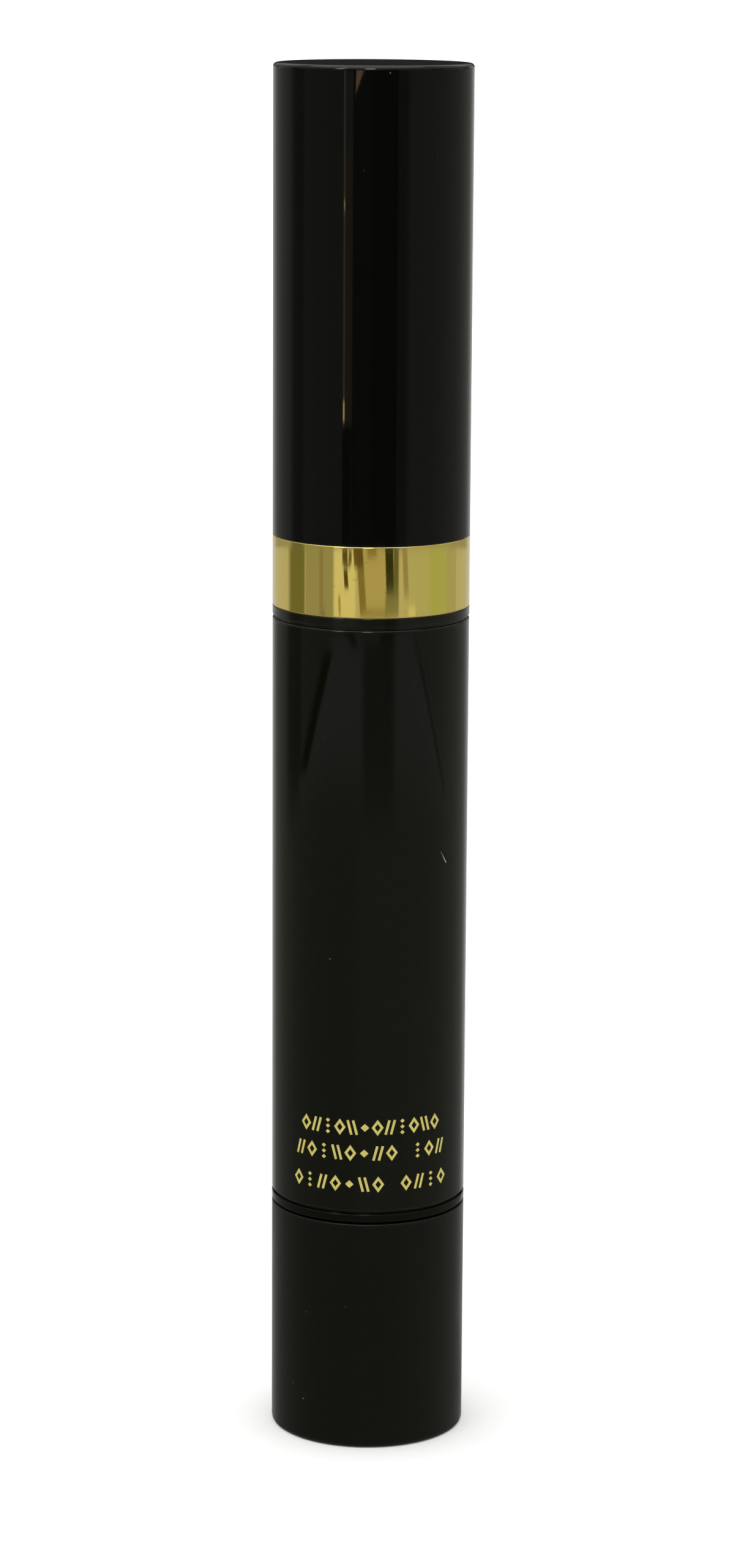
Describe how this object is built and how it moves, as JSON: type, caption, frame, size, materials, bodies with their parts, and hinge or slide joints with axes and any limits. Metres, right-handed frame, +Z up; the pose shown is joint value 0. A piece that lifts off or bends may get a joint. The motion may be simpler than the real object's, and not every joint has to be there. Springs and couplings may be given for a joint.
{
  "type": "twist-up brush pen",
  "caption": "Slim round twist-up make-up brush pen with a pull-off cap, a gold band and a turning base that feeds liquid to the brush.",
  "frame": {"origin": "centre of the underside of the base, where the closed pen stands", "axes": "+Z up along the pen's axis towards the closed end of the cap, -Y towards the viewer"},
  "size_m": [0.017, 0.017, 0.1198],
  "materials": {
    "cap_gloss_black": "mirror-polished black",
    "gold": "polished pale gold",
    "lip_black": "gloss black",
    "barrel_gloss_black": "gloss black, a little softer than the cap",
    "ring_black": "semi-gloss black",
    "base_satin_black": "satin black",
    "collar_black": "gloss black",
    "ferrule_black": "gloss black",
    "inner_black": "moulded black",
    "natural_plastic": "natural acetal",
    "clear_plastic": "translucent polypropylene",
    "silicone": "silicone rubber",
    "bristle": "fine synthetic bristle"
  },
  "bodies": {
    "barrel": {"barrel_shell": "barrel_gloss_black", "reservoir": "clear_plastic", "neck_gasket": "silicone", "neck_collar": "collar_black", "collar_o_ring": "silicone", "brush_ferrule": "ferrule_black", "feed_tube": "natural_plastic", "brush_tuft": "bristle", "mechanism_housing": "ring_black", "journal_o_ring": "silicone", "ratchet_ring": "natural_plastic", "thread_nut": "natural_plastic"},
    "cap": {"cap_shell": "cap_gloss_black", "gold_band": "gold", "cap_liner": "lip_black", "cap_seal": "silicone"},
    "base": {"base_shell": "base_satin_black", "base_core": "inner_black", "drive_sleeve": "inner_black", "pawl_ring": "natural_plastic", "drive_spindle": "natural_plastic"},
    "lead_screw": {"lead_screw": "natural_plastic"},
    "piston": {"piston": "natural_plastic", "piston_seals": "silicone"}
  },
  "joints": [
    {"name": "cap_slide", "type": "slide", "parent": "barrel", "child": "cap", "axis": [0, 0, 1], "range_m": [0, 0.045]},
    {"name": "base_twist", "type": "hinge", "parent": "barrel", "child": "base", "pos_m": [0, 0, 0.01], "axis": [0, 0, 1], "range_deg": [0, 4680]},
    {"name": "screw_climb", "type": "slide", "parent": "base", "child": "lead_screw", "axis": [0, 0, 1], "range_m": [0, 0.026]},
    {"name": "piston_push", "type": "slide", "parent": "barrel", "child": "piston", "axis": [0, 0, 1], "range_m": [0, 0.026]}
  ],
  "couplings": [
    {"joint": "screw_climb", "follows": "base_twist", "m_per_rad": 0.00031831},
    {"joint": "piston_push", "follows": "base_twist", "m_per_rad": 0.00031831}
  ]
}
